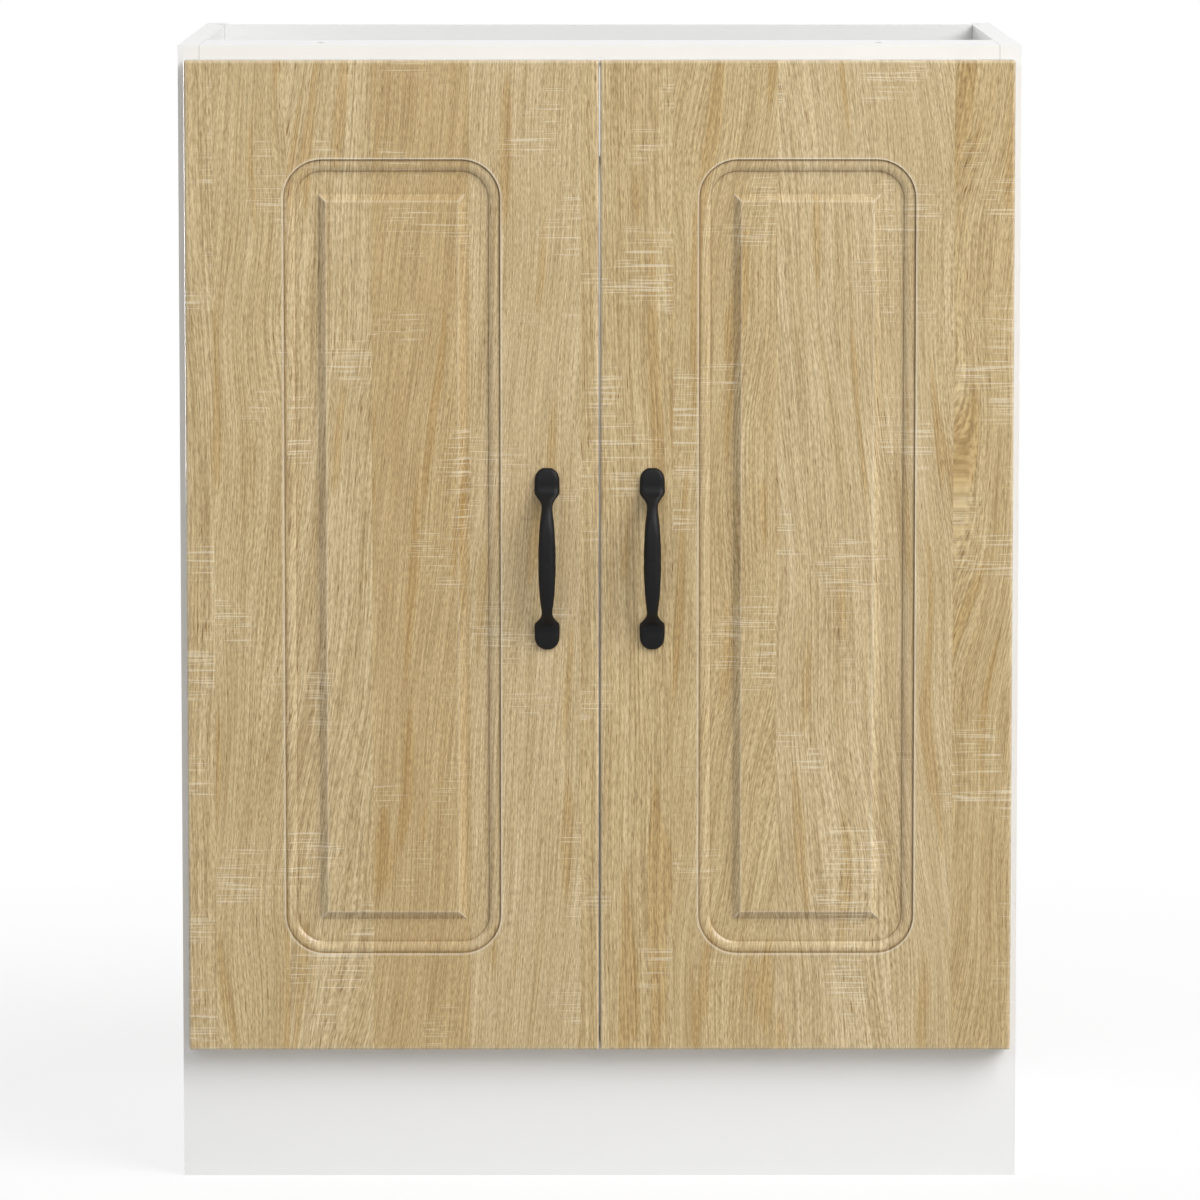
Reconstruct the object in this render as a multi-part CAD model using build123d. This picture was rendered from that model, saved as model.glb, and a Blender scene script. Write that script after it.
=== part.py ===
from build123d import *

import os
from math import atan2, degrees, hypot

os.makedirs("parts", exist_ok=True)

# A two-door sink base cabinet. Millimetres; +X to the right, +Z up, the doors face -Y.
# The origin lies on the floor, under the middle of the whole cabinet with its handles.

# Overall sizes
cabinet_width = 600.0
cabinet_height = 815.0
cabinet_depth = 460.0  # back edges to the front of the doors, without the handles
board = 15.0  # melamine-faced particle board
plinth_height = 95.0
front_rail_depth = 95.0
back_rail_height = 100.0
pipe_space = 30.0  # behind the back rails and the bottom panel
back_panel_thickness = 3.0
back_panel_drop = 10.0  # below the cabinet's top
back_groove_depth = 6.0
back_groove_air = 0.3

# Doors
door_thickness = 18.0
door_gap = 2.0  # air behind a closed door
side_reveal = 5.0  # carcass edge left bare outside each door
meeting_gap = 1.0
top_reveal = 10.0
door_edge_round = 2.0
door_corner_round = 1.5

# Routed pattern of the doors, each distance counted from the pattern's outer line
frame_width = 70.0
pattern_corner = 28.0
quirk_depth = 1.6
quirk_run = 0.6
bead_rise = 0.5
bead_run = 7.6
bead_drop = 1.3
recess_step = 0.6
recess_depth = 4.0
bevel_foot = 24.8
bevel_width = 5.4

# Handles
handle_screw_spacing = 96.0
foot_overhang = 17.0  # from the screw to the foot's end
handle_projection = 27.0
handle_from_edge = 37.0  # handle centre to the door's meeting edge
foot_width = 18.0
foot_length = 19.0
foot_thickness = 4.5
neck_width = 7.8
grip_width = 12.2
grip_thickness = 9.0

# Cam fittings and dowels
cam_radius = 7.4
cam_height = 12.0
cam_setback = 24.0  # cam centre to the end of the board
cam_fit = 0.1
cam_sink = 0.2
cam_from_edge = 45.0
bolt_thread_radius = 2.4
bolt_thread_length = 11.0
bolt_shank_radius = 3.1
bolt_neck_radius = 2.0
bolt_head_radius = 3.2
cap_radius = 8.5
cap_thickness = 1.2
dowel_radius = 4.0
dowel_length = 30.0
dowel_in_face = 10.0
dowel_fit = 0.05
dowel_spacing = 32.0

# Plinth brackets and wood screws
bracket_leg = 30.0
bracket_height = 40.0
bracket_thickness = 2.0
bracket_screw_from_corner = 19.0
bracket_screw_spacing = 24.0
screw_shank_radius = 1.7
screw_head_radius = 3.4
screw_head_height = 2.0
screw_length = 12.0
screw_fit = 0.05

# Nails of the back panel
nail_head_radius = 2.0
nail_head_height = 0.7
nail_shank_radius = 0.8
nail_length = 14.0
nail_spacing = 150.0

# Worktop screw holes in the front rail
worktop_hole_radius = 2.5
worktop_hole_spacing = 400.0

# Hinges. u runs from the side panel's inner face into the cabinet, v from the carcass front
# plane towards the doors, both at rest.
hinge_from_door_end = 100.0
cup_radius = 17.5
cup_depth = 12.8
cup_wall = 0.8
cup_from_edge = 3.0
cup_fit = 0.1
flange_thickness = 1.2
flange_lip = 1.6  # flange beyond the cup's wall
flange_ear = 5.5
cup_screw_aside = 22.5
cup_screw_inward = 9.5
outer_link_fixed = (17.5, -15.0)
inner_link_fixed = (14.1, -9.4)
outer_link_cup = (-2.2, 4.4)
inner_link_cup = (-0.4, 9.9)
outer_link_bends = [(5.0, 9.2), (15.0, 9.4), (19.6, 3.0)]  # from the cup pin to the arm pin
inner_link_bends = [(12.5, 10.0)]
link_bend_round = 3.0
pin_radius = 1.2
pin_fit = 0.05
link_eye_radius = 2.2
outer_link_width = 3.6
inner_link_width = 3.2
outer_link_reach = 5.9  # half the width over the outer link's two plates
link_plate = 1.4
inner_link_reach = 4.1
link_side_play = 0.3
slot_travel = 2.8  # play of the inner link's arm end along the link
slot_side_play = 0.45
arm_sheet = 1.4
arm_length = 62.0
arm_high = 22.4  # the arm's web at its nose
arm_web_end = 19.0
arm_screw_from_front = 50.0
adjusting_screw_from_front = 36.0
arm_screw_radius = 2.5
arm_screw_head = 4.2
plate_screw_spacing = 32.0
plate_screw_from_front = 37.0
spine_height = 11.0
spine_reach = 5.8
spine_front = 25.0
spine_rear = 60.0
wing_height = 2.2
wing_width = 13.0

# Handle screws and door bumpers
handle_screw_radius = 2.0
handle_thread_depth = 4.2
handle_screw_head = 4.0
bumper_radius = 4.0
bumper_from_edge = 14.0
bumper_air = 0.3  # between a closed door's bumper and the carcass

# Derived places
half_width = cabinet_width / 2
inner = half_width - board
whole_depth = cabinet_depth + handle_projection
front = -whole_depth / 2 + handle_projection + door_thickness + door_gap
back = whole_depth / 2
rail_back = back - pipe_space
rail_front = rail_back - board
floor_top = plinth_height + board
door_back = front - door_gap
door_front = door_back - door_thickness
door_bottom = plinth_height
door_top = cabinet_height - top_reveal
door_height = door_top - door_bottom
door_outer = -(half_width - side_reveal)
door_inner = -meeting_gap / 2
door_width = door_inner - door_outer
door_middle = (door_outer + door_inner) / 2
door_mid_height = (door_top + door_bottom) / 2
handle_length = handle_screw_spacing + 2 * foot_overhang


def block(x_span, y_span, z_span):
    """A board from its lowest to its highest corner."""
    spans = (x_span, y_span, z_span)
    middle = [(low + high) / 2 for low, high in spans]
    return Pos(*middle) * Box(*[high - low for low, high in spans])


def turned(profile):
    """A solid turned about local X from (x, radius) points, closed along the axis."""
    points = [(profile[0][0], 0), *profile, (profile[-1][0], 0)]
    face = make_face(Polyline(*points, close=True))
    return revolve(face, Axis.X)


def opposite(shape):
    """The same piece on the cabinet's other side."""
    return mirror(shape, about=Plane.YZ)


def save(name, *solids):
    """Writes one node, which may hold several solids."""
    pieces = [solid for group in solids for solid in group.solids()]
    shape = pieces[0] if len(pieces) == 1 else Compound(children=pieces)
    export_step(shape, f"parts/{name}.step")


# ---- Cam fittings and dowels ------------------------------------------------------------
# Each board end is drawn to the side panel by a cam that turns on a bolt's head. The bolt is
# screwed into the side panel. In the fitting's own frame x runs from the side panel into the
# board and z out of the face that the cam is let into.


def cam_lock():
    top = board / 2 - cam_sink
    bottom = top - cam_height
    body = Pos(cam_setback, 0, (top + bottom) / 2) * Cylinder(cam_radius, cam_height)
    head_room = Pos(cam_setback, 0, 0) * Cylinder(bolt_head_radius + 0.8, 8.0)
    neck_room = block(
        (cam_setback - cam_radius - 1, cam_setback),
        (-bolt_neck_radius - 0.4, bolt_neck_radius + 0.4),
        (-bolt_neck_radius - 0.4, bolt_neck_radius + 0.4),
    )
    entry = block(
        (cam_setback - cam_radius - 1, cam_setback),
        (-bolt_head_radius - 0.4, 0),
        (-bolt_neck_radius - 0.4, bolt_neck_radius + 0.4),
    )
    slot = Pos(cam_setback, 0, top - 1) * Box(9.0, 1.8, 2.0)
    cross = Pos(cam_setback, 0, top - 1) * Box(1.8, 9.0, 2.0)
    return body - head_room - neck_room - entry - slot - cross


def cam_bolt():
    shank_end = cam_setback - cam_radius - 0.4
    head_start = cam_setback - bolt_head_radius + 0.4
    head_end = cam_setback + 2.2
    return turned(
        [
            (-bolt_thread_length, bolt_thread_radius - 0.6),
            (-bolt_thread_length + 0.8, bolt_thread_radius),
            (0, bolt_thread_radius),
            (0, bolt_shank_radius),
            (shank_end, bolt_shank_radius),
            (shank_end, bolt_neck_radius),
            (head_start, bolt_neck_radius),
            (head_start + 1, bolt_head_radius),
            (head_end - 1, bolt_head_radius),
            (head_end, bolt_neck_radius),
        ]
    )


def bore(start, end, radius):
    """A round cutter along local X."""
    length = end - start
    return Pos((start + end) / 2, 0, 0) * Rot(0, 90, 0) * Cylinder(radius, length)


def cam_bores():
    depth = cam_height + cam_sink + cam_fit
    pocket = Pos(cam_setback, 0, board / 2 - depth / 2) * Cylinder(cam_radius + cam_fit, depth)
    shank = bore(0, cam_setback, bolt_shank_radius + cam_fit)
    thread = bore(-bolt_thread_length - cam_fit, 0, bolt_thread_radius + cam_fit)
    return pocket + shank, thread


def dowel():
    chamfer_size = 0.8
    end = dowel_length - dowel_in_face
    return turned(
        [
            (-dowel_in_face, dowel_radius - chamfer_size),
            (-dowel_in_face + chamfer_size, dowel_radius),
            (end - chamfer_size, dowel_radius),
            (end, dowel_radius - chamfer_size),
        ]
    )


def dowel_bore():
    end_room = 0.6
    start = -dowel_in_face - end_room
    return bore(start, dowel_length - dowel_in_face + end_room, dowel_radius + dowel_fit)


def side_joint(y, z, open_face):
    """The frame of a fitting in the left side panel's inner face."""
    return Plane(origin=(-inner, y, z), x_dir=(1, 0, 0), z_dir=open_face)


down, inward = (0, 0, -1), (0, -1, 0)
floor_middle = floor_top - board / 2
rail_middle = (rail_front + rail_back) / 2
front_rail_middle = front + front_rail_depth / 2
upper_rail_height = cabinet_height - back_rail_height / 2
lower_rail_height = floor_top + back_rail_height / 2

cam_frames = [
    side_joint(front + cam_from_edge, floor_middle, down),
    side_joint(rail_back - cam_from_edge, floor_middle, down),
    side_joint(front_rail_middle, cabinet_height - board / 2, down),
    side_joint(rail_middle, upper_rail_height, inward),
    side_joint(rail_middle, lower_rail_height, inward),
]
capped_frames = cam_frames[3:]
dowel_frames = [
    side_joint(front + cam_from_edge + dowel_spacing, floor_middle, down),
    side_joint(rail_back - cam_from_edge - dowel_spacing, floor_middle, down),
]
for step in (-dowel_spacing, dowel_spacing):
    dowel_frames += [
        side_joint(front_rail_middle + step, cabinet_height - board / 2, down),
        side_joint(rail_middle, upper_rail_height + step, inward),
        side_joint(rail_middle, lower_rail_height + step, inward),
    ]
# The plinth's dowels run back into the front edges of the side panels.
plinth_dowel_frames = [
    Plane(origin=(-half_width + board / 2, front + board, z), x_dir=(0, 1, 0), z_dir=(1, 0, 0))
    for z in (plinth_height / 4, plinth_height * 3 / 4)
]

cams = [frame * cam_lock() for frame in cam_frames]
bolts = [frame * cam_bolt() for frame in cam_frames]
dowels = [frame * dowel() for frame in dowel_frames + plinth_dowel_frames]
caps = [
    frame * Pos(cam_setback, 0, board / 2 + cap_thickness / 2) * Cylinder(cap_radius, cap_thickness)
    for frame in capped_frames
]
caps = [chamfer(cap.edges().filter_by(GeomType.CIRCLE).sort_by(Axis.Y)[:1], 0.4) for cap in caps]

board_cuts, side_cuts = Part(), Part()
for frame in cam_frames:
    board_cut, side_cut = cam_bores()
    board_cuts += frame * board_cut
    side_cuts += frame * side_cut
for frame in dowel_frames + plinth_dowel_frames:
    board_cuts += frame * dowel_bore()
side_cuts += board_cuts
board_cuts += opposite(board_cuts)


# ---- Plinth brackets ---------------------------------------------------------------------
# A steel angle in each front corner holds the plinth to the side panel.


def wood_screw():
    """Its head stands on local z = 0 and its point goes down."""
    profile = [
        (screw_head_height, 0.9),
        (screw_head_height * 0.6, screw_head_radius * 0.8),
        (0, screw_head_radius),
        (0, screw_shank_radius),
        (2.5 - screw_length, screw_shank_radius),
        (-screw_length, 0.3),
    ]
    return Rot(0, -90, 0) * turned(profile[::-1])


def screw_bore():
    radius = screw_shank_radius + screw_fit
    depth = screw_length + 0.3
    return Pos(0, 0, -depth / 2) * Cylinder(radius, depth)


bracket_middle = plinth_height / 2
corner_x, corner_y = -inner, front + board
bracket = block(
    (corner_x, corner_x + bracket_leg),
    (corner_y, corner_y + bracket_leg),
    (bracket_middle - bracket_height / 2, bracket_middle + bracket_height / 2),
) - block(
    (corner_x + bracket_thickness, corner_x + bracket_leg + 1),
    (corner_y + bracket_thickness, corner_y + bracket_leg + 1),
    (0, plinth_height),
)
bracket_screw_planes = []
for step in (-bracket_screw_spacing / 2, bracket_screw_spacing / 2):
    z = bracket_middle + step
    bracket_screw_planes += [
        Plane(
            origin=(corner_x + bracket_thickness, corner_y + bracket_screw_from_corner, z),
            z_dir=(1, 0, 0),
        ),
        Plane(
            origin=(corner_x + bracket_screw_from_corner, corner_y + bracket_thickness, z),
            z_dir=(0, 1, 0),
        ),
    ]
bracket_cuts = Part()
for plane in bracket_screw_planes:
    bracket_cuts += plane * screw_bore()
bracket -= bracket_cuts
bracket_screws = [plane * wood_screw() for plane in bracket_screw_planes]


# ---- Back panel --------------------------------------------------------------------------
# Thin hardboard in grooves of the side panels, nailed to the back rails and the bottom panel.


def back_nail():
    """Its head stands on local z = 0 and its point goes down."""
    profile = [
        (-nail_length, 0.2),
        (1.5 - nail_length, nail_shank_radius),
        (0, nail_shank_radius),
        (0, nail_head_radius),
        (nail_head_height, nail_head_radius - 0.3),
    ]
    return Rot(0, -90, 0) * turned(profile)


nail_bore = Pos(0, 0, -nail_length / 2) * Cylinder(nail_shank_radius + screw_fit, nail_length + 0.4)
nails_per_row = 1 + int(2 * (inner - 50) // nail_spacing)
nail_row_width = (nails_per_row - 1) * nail_spacing
nail_planes = [
    Plane(
        origin=(step * nail_spacing - nail_row_width / 2, rail_back + back_panel_thickness, z),
        z_dir=(0, 1, 0),
    )
    for z in (floor_middle, lower_rail_height, upper_rail_height)
    for step in range(nails_per_row)
]
nails = [plane * back_nail() for plane in nail_planes]
nail_cuts = Part() + [plane * nail_bore for plane in nail_planes]


def back_panel():
    half = inner + back_groove_depth - 2 * back_groove_air
    height = (plinth_height + back_groove_air, cabinet_height - back_panel_drop)
    return block((-half, half), (rail_back, rail_back + back_panel_thickness), height) - nail_cuts


def back_groove():
    return block(
        (-inner - back_groove_depth, -inner + 1),
        (rail_back - back_groove_air, rail_back + back_panel_thickness + back_groove_air),
        (-1, cabinet_height + 1),
    )


# ---- Concealed hinges --------------------------------------------------------------------
# A four-bar hinge: the outer and the inner link join the arm's nose to the cup in the door.
# Local x is u, local y is v and local z runs along the pins. The outer link turns on its pins
# with running clearance. The inner link's arm end is slotted along the link.

hinge_heights = (door_bottom + hinge_from_door_end, door_top - hinge_from_door_end)
hinge_frames = [
    Plane(origin=(-inner, front, z), x_dir=(1, 0, 0), z_dir=(0, 0, -1)) for z in hinge_heights
]
cup_middle = door_outer + inner + cup_from_edge + cup_radius
# From the cup's mouth, local z runs into the door.
cup_axis = Plane(origin=(cup_middle, door_gap, 0), x_dir=(1, 0, 0), z_dir=(0, 1, 0))
cup_screw_planes = [
    Plane(origin=(cup_middle + cup_screw_inward, door_gap - flange_thickness, w), z_dir=(0, -1, 0))
    for w in (-cup_screw_aside, cup_screw_aside)
]
plate_screw_planes = [
    Plane(origin=(wing_height, -plate_screw_from_front, w), z_dir=(1, 0, 0))
    for w in (-plate_screw_spacing / 2, plate_screw_spacing / 2)
]
arm_low = spine_height + arm_sheet
arm_inside = outer_link_reach + link_side_play
arm_outside = arm_inside + arm_sheet
stub_start = outer_link_reach - link_plate - 0.1


def slab(outline, low, high):
    """A flat outline in u and v, as thick as the span along the pins."""
    return extrude(Pos(0, 0, low) * outline, high - low)


def twin_slab(outline, low, high):
    return slab(outline, low, high) + slab(outline, -high, -low)


def strap(points, width):
    """A flat strap of one width along points, with its bends rounded."""
    line = FilletPolyline(*points, radius=link_bend_round)
    return trace(line, width)


def disc(centre, radius):
    return Pos(*centre) * Circle(radius)


def outer_link():
    points = [outer_link_cup, *outer_link_bends, outer_link_fixed]
    outline = strap(points, outer_link_width)
    outline += disc(outer_link_cup, link_eye_radius)
    outline += disc(outer_link_fixed, link_eye_radius)
    for centre in (outer_link_cup, outer_link_fixed):
        outline -= disc(centre, pin_radius + pin_fit)
    plates = twin_slab(outline, outer_link_reach - link_plate, outer_link_reach)
    # The bridge joins both plates along the side that faces the cabinet.
    (low_u, low_v), (high_u, high_v) = outer_link_fixed, outer_link_bends[-1]
    out = outer_link_width / 2 - link_plate / 2
    start = (low_u + 0.35 * (high_u - low_u) + out, low_v + 0.35 * (high_v - low_v))
    end = (low_u + 0.85 * (high_u - low_u) + out, low_v + 0.85 * (high_v - low_v))
    bridge = slab(trace(Line(start, end), link_plate), -outer_link_reach, outer_link_reach)
    return plates + bridge


def inner_link():
    points = [inner_link_cup, *inner_link_bends, inner_link_fixed]
    outline = strap(points, inner_link_width)
    (fixed_u, fixed_v), (cup_u, cup_v) = inner_link_fixed, inner_link_cup
    span = hypot(fixed_u - cup_u, fixed_v - cup_v)
    along_u, along_v = (fixed_u - cup_u) / span, (fixed_v - cup_v) / span
    middle = (fixed_u + along_u * slot_travel / 2, fixed_v + along_v * slot_travel / 2)
    turn = degrees(atan2(along_v, along_u))
    slot_radius = pin_radius + slot_side_play
    wall = link_eye_radius - pin_radius
    eye = SlotCenterToCenter(slot_travel, 2 * (slot_radius + wall))
    slot = SlotCenterToCenter(slot_travel, 2 * slot_radius)
    outline += Pos(*middle) * Rot(0, 0, turn) * eye
    outline += disc(inner_link_cup, link_eye_radius)
    outline -= Pos(*middle) * Rot(0, 0, turn) * slot
    outline -= disc(inner_link_cup, pin_radius + pin_fit)
    return slab(outline, -inner_link_reach, inner_link_reach)


def pin(centre, low, high):
    return slab(disc(centre, pin_radius), low, high)


def arm_pins():
    stub_pins = pin(outer_link_fixed, stub_start, arm_outside)
    stub_pins += pin(outer_link_fixed, -arm_outside, -stub_start)
    return stub_pins + pin(inner_link_fixed, -arm_outside, arm_outside)


def cup_pins():
    """They end in the cup's wall. The outer link's pins are stubs that leave its middle free."""
    pins = pin(outer_link_cup, stub_start, cup_radius)
    pins += pin(outer_link_cup, -cup_radius, -stub_start)
    pins += pin(inner_link_cup, -cup_radius, cup_radius)
    return pins & cup_axis * Cylinder(cup_radius - cup_wall / 4, 4 * cup_depth)


def hinge_arm():
    """A channel of sheet steel: its web lies on the mounting plate and rises to the nose."""
    middle = arm_sheet / 2
    web_points = [
        (arm_low - middle, -arm_length),
        (arm_low - middle, -spine_front - 5),
        (arm_high - middle, -arm_web_end - 2),
        (arm_high - middle, -arm_web_end),
    ]
    web = slab(trace(Polyline(*web_points), arm_sheet), -arm_outside, arm_outside)
    for place in (arm_screw_from_front, adjusting_screw_from_front):
        web -= screw_axis(place) * Cylinder(arm_screw_radius + 0.2, 4 * arm_sheet)
    wall_points = [
        (arm_low, -arm_length),
        (arm_low, -spine_front - 5),
        (arm_high, -arm_web_end - 2),
        (arm_high, -11.0),
        (18.5, -5.8),
        (11.6, -5.8),
        (9.6, -12.0),
        (arm_low - 2, -spine_front + 1),
        (4.0, -spine_front - 6),
        (4.0, -arm_length),
    ]
    walls = make_face(Polyline(*wall_points, close=True))
    walls = fillet(walls.vertices().sort_by(Axis.Y)[-2:], 1.6)
    for centre in (outer_link_fixed, inner_link_fixed):
        walls -= disc(centre, pin_radius)
    return web + twin_slab(walls, arm_inside, arm_outside)


def screw_axis(from_front):
    """On top of the arm's web, with local z out of the cabinet's side."""
    return Pos(arm_low, -from_front, 0) * Rot(0, 90, 0)


def arm_screws():
    """The rear one clamps the arm to the mounting plate, the front one sets it sideways."""
    head_height = 2.4
    slot = Pos(0, 0, head_height) * Box(1.2, 2 * arm_screw_head + 1, 2.0)
    profile = [
        (-arm_low + 3.0, arm_screw_radius - 0.6),
        (-arm_low + 3.8, arm_screw_radius),
        (0, arm_screw_radius),
        (0, arm_screw_head),
        (head_height - 0.6, arm_screw_head),
        (head_height, arm_screw_head - 0.8),
    ]
    screw = Rot(0, -90, 0) * turned(profile) - slot
    places = (arm_screw_from_front, adjusting_screw_from_front)
    return Part() + [screw_axis(place) * screw for place in places]


def mounting_plate():
    spine = block((0, spine_height), (-spine_rear, -spine_front), (-spine_reach, spine_reach))
    spine = chamfer(spine.edges().filter_by(Axis.Z).sort_by(Axis.X)[-2:], 2.0)
    half_wings = plate_screw_spacing / 2 + wing_width / 2
    wings = block(
        (0, wing_height),
        (-plate_screw_from_front - wing_width / 2, -plate_screw_from_front + wing_width / 2),
        (-half_wings, half_wings),
    )
    plate = spine + fillet(wings.edges().filter_by(Axis.X), wing_width / 2 - 0.2)
    for place in (arm_screw_from_front, adjusting_screw_from_front):
        plate -= screw_axis(place) * Cylinder(arm_screw_radius + screw_fit, 2 * arm_low - 5.0)
    for plane in plate_screw_planes:
        plate -= plane * screw_bore()
    return plate


def hinge_cup():
    """A pressed cup with a flat flange that lies on the back of the door."""
    body = cup_axis * Pos(0, 0, cup_depth / 2) * Cylinder(cup_radius, cup_depth)
    body = chamfer(body.edges().filter_by(GeomType.CIRCLE).sort_by(Axis.Y)[-1:], 1.0)
    ears = [
        Pos(cup_screw_inward, side * cup_screw_aside) * Circle(flange_ear) for side in (-1, 1)
    ]
    outline = Circle(cup_radius + flange_lip) + make_hull((Sketch() + ears).edges())
    flange = cup_axis * Pos(0, 0, -flange_thickness) * extrude(outline, flange_thickness)
    room_depth = cup_depth - cup_wall + flange_thickness
    room = Pos(0, 0, room_depth / 2 - flange_thickness)
    cup = body + flange - cup_axis * room * Cylinder(cup_radius - cup_wall, room_depth)
    for plane in cup_screw_planes:
        cup -= plane * screw_bore()
    for centre in (outer_link_cup, inner_link_cup):
        cup -= pin(centre, -cup_radius, cup_radius)
    return cup


def on_hinges(make):
    """One copy of a hinge piece at each of the left door's hinges."""
    return [frame * make() for frame in hinge_frames]


def screws_on_hinges(planes):
    return [frame * plane * wood_screw() for frame in hinge_frames for plane in planes]


# ---- Handles -----------------------------------------------------------------------------
# A cast bow pull: two spade feet, each rising through a narrow neck into a grip that is
# widest at the middle. Each station gives the distance from the handle's middle, the width,
# and the near and far face counted from the door.

door_face = Plane(
    origin=(door_middle, door_front, door_mid_height), x_dir=(1, 0, 0), z_dir=(0, -1, 0)
)
handle_x = door_inner - handle_from_edge - door_middle
half_handle = handle_length / 2
foot_end = half_handle - foot_length
stations = [
    (0, grip_width, handle_projection - grip_thickness, handle_projection),
    (0.2 * half_handle, grip_width - 0.3, 17.6, handle_projection - 0.3),
    (0.38 * half_handle, grip_width - 1.6, 16.0, handle_projection - 1.8),
    (0.5 * half_handle, neck_width + 1.0, 13.0, handle_projection - 4.6),
    (0.58 * half_handle, neck_width, 9.6, handle_projection - 8.2),
    (foot_end - 5.2, neck_width + 1.2, 5.0, 15.2),
    (foot_end - 2.6, neck_width + 4.6, 1.2, 11.8),
    (foot_end + 0.2, foot_width - 1.0, -2.0, 8.2),
    (foot_end + 3.4, foot_width, -3.0, foot_thickness + 0.8),
    (foot_end + 9.0, foot_width - 0.2, -3.0, foot_thickness),
    (half_handle - 5.6, foot_width - 1.4, -3.0, foot_thickness - 0.3),
    (half_handle - 2.6, foot_width - 4.6, -3.0, foot_thickness - 0.9),
    (half_handle - 0.8, foot_width - 9.0, -3.0, foot_thickness - 1.8),
    (half_handle, foot_width - 12.5, -3.0, foot_thickness - 2.8),
]


def handle_section(place, width, near, far):
    corner = 0.48 * min(width, far - near)
    outline = RectangleRounded(width, far - near, corner)
    plane = Plane(origin=(0, place, (near + far) / 2), x_dir=(1, 0, 0), z_dir=(0, -1, 0))
    return plane * outline


def handle():
    upper = [handle_section(*station) for station in stations]
    lower = [handle_section(-place, *rest) for place, *rest in stations[1:]]
    grip = loft(lower[::-1] + upper)
    below_face = Pos(0, 0, -5) * Box(2 * foot_width, handle_length + 10, 10)
    grip -= below_face
    for y in (-handle_screw_spacing / 2, handle_screw_spacing / 2):
        grip -= Pos(0, y, 0) * Cylinder(handle_screw_radius + screw_fit, 2 * handle_thread_depth)
    return door_face * Pos(handle_x, 0, 0) * grip


def handle_screws():
    head_height = 2.0
    screw = Rot(0, -90, 0) * turned(
        [
            (-door_thickness - head_height, handle_screw_head - 1.6),
            (-door_thickness - head_height * 0.4, handle_screw_head),
            (-door_thickness, handle_screw_head),
            (-door_thickness, handle_screw_radius),
            (handle_thread_depth - 1.2, handle_screw_radius),
            (handle_thread_depth - 0.4, handle_screw_radius - 0.6),
        ]
    )
    places = (-handle_screw_spacing / 2, handle_screw_spacing / 2)
    return [door_face * Pos(handle_x, y, 0) * screw for y in places]


# ---- Doors -------------------------------------------------------------------------------
# Foil-wrapped board with a routed pattern: a quirk, a rounded bead and a small step lead down
# to a flat recess, and a bevel with mitred corners rises to the field in the middle.


def routed_pattern():
    width = door_width - 2 * frame_width
    height = door_height - 2 * frame_width
    overshoot = 1.0
    bead_end = quirk_run + bead_run
    ring_end = bead_end + recess_step + 3.0
    edge = -width / 2
    plane = Plane(origin=(edge, 0, 0), x_dir=(1, 0, 0), z_dir=(0, -1, 0))
    crest = (quirk_run + bead_run * 0.4, -quirk_depth + bead_rise)
    section = plane * make_face(
        [
            *Polyline((bead_end, -quirk_depth - bead_drop),
                      (bead_end + recess_step, -recess_depth),
                      (ring_end, -recess_depth),
                      (ring_end, overshoot),
                      (0, overshoot),
                      (0, 0),
                      (quirk_run, -quirk_depth)).edges(),
            ThreePointArc(
                (quirk_run, -quirk_depth), crest, (bead_end, -quirk_depth - bead_drop)
            ),
        ]
    )
    path = RectangleRounded(width, height, pattern_corner).wire()
    ring = sweep(section, path=path)
    inset = ring_end - 1.0
    recess = Pos(0, 0, -recess_depth) * extrude(
        RectangleRounded(width - 2 * inset, height - 2 * inset, pattern_corner - inset),
        recess_depth + overshoot,
    )
    rise = recess_depth + overshoot
    top_inset = bevel_foot + bevel_width * rise / recess_depth
    field = loft(
        [
            Pos(0, 0, -recess_depth)
            * Rectangle(width - 2 * bevel_foot, height - 2 * bevel_foot),
            Pos(0, 0, overshoot) * Rectangle(width - 2 * top_inset, height - 2 * top_inset),
        ],
        ruled=True,
    )
    return door_face * ring, door_face * (recess - field)


def door():
    panel = block((door_outer, door_inner), (door_front, door_back), (door_bottom, door_top))
    panel = fillet(panel.edges().filter_by(Axis.Y), door_corner_round)
    panel = fillet(panel.faces().sort_by(Axis.Y)[0].edges(), door_edge_round)
    for cut in routed_pattern():
        panel -= cut
    for frame in hinge_frames:
        panel -= frame * cup_axis * Cylinder(cup_radius + cup_fit, 2 * (cup_depth + cup_fit))
        for plane in cup_screw_planes:
            panel -= frame * plane * screw_bore()
    for y in (-handle_screw_spacing / 2, handle_screw_spacing / 2):
        hole = Pos(handle_x, y, 0) * Cylinder(handle_screw_radius + 0.3, 3 * door_thickness)
        panel -= door_face * hole
    return panel


def bumper():
    """A soft pad on the back of the door, which meets the bottom panel's front edge."""
    thickness = door_gap - bumper_air
    profile = [
        (0, bumper_radius),
        (thickness * 0.5, bumper_radius - 0.3),
        (thickness, bumper_radius - 1.6),
    ]
    place = Pos(door_inner - bumper_from_edge, door_back, floor_middle)
    return place * Rot(0, 0, 90) * turned(profile)


# ---- Carcass boards ----------------------------------------------------------------------

top_board = (cabinet_height - board, cabinet_height)


def side_panel():
    panel = block((-half_width, -inner), (front, back), (0, cabinet_height))
    # The plinth board passes in front of it.
    panel -= block((-half_width - 1, -inner + 1), (front - 1, front + board), (-1, plinth_height))
    panel -= side_cuts + bracket_cuts + back_groove()
    for frame in hinge_frames:
        for plane in plate_screw_planes:
            panel -= frame * plane * screw_bore()
    return panel


def front_rail():
    rail = block((-inner, inner), (front, front + front_rail_depth), top_board)
    for x in (-worktop_hole_spacing / 2, worktop_hole_spacing / 2):
        rail -= Pos(x, front_rail_middle, top_board[0]) * Cylinder(worktop_hole_radius, 3 * board)
    return rail - board_cuts


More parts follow.
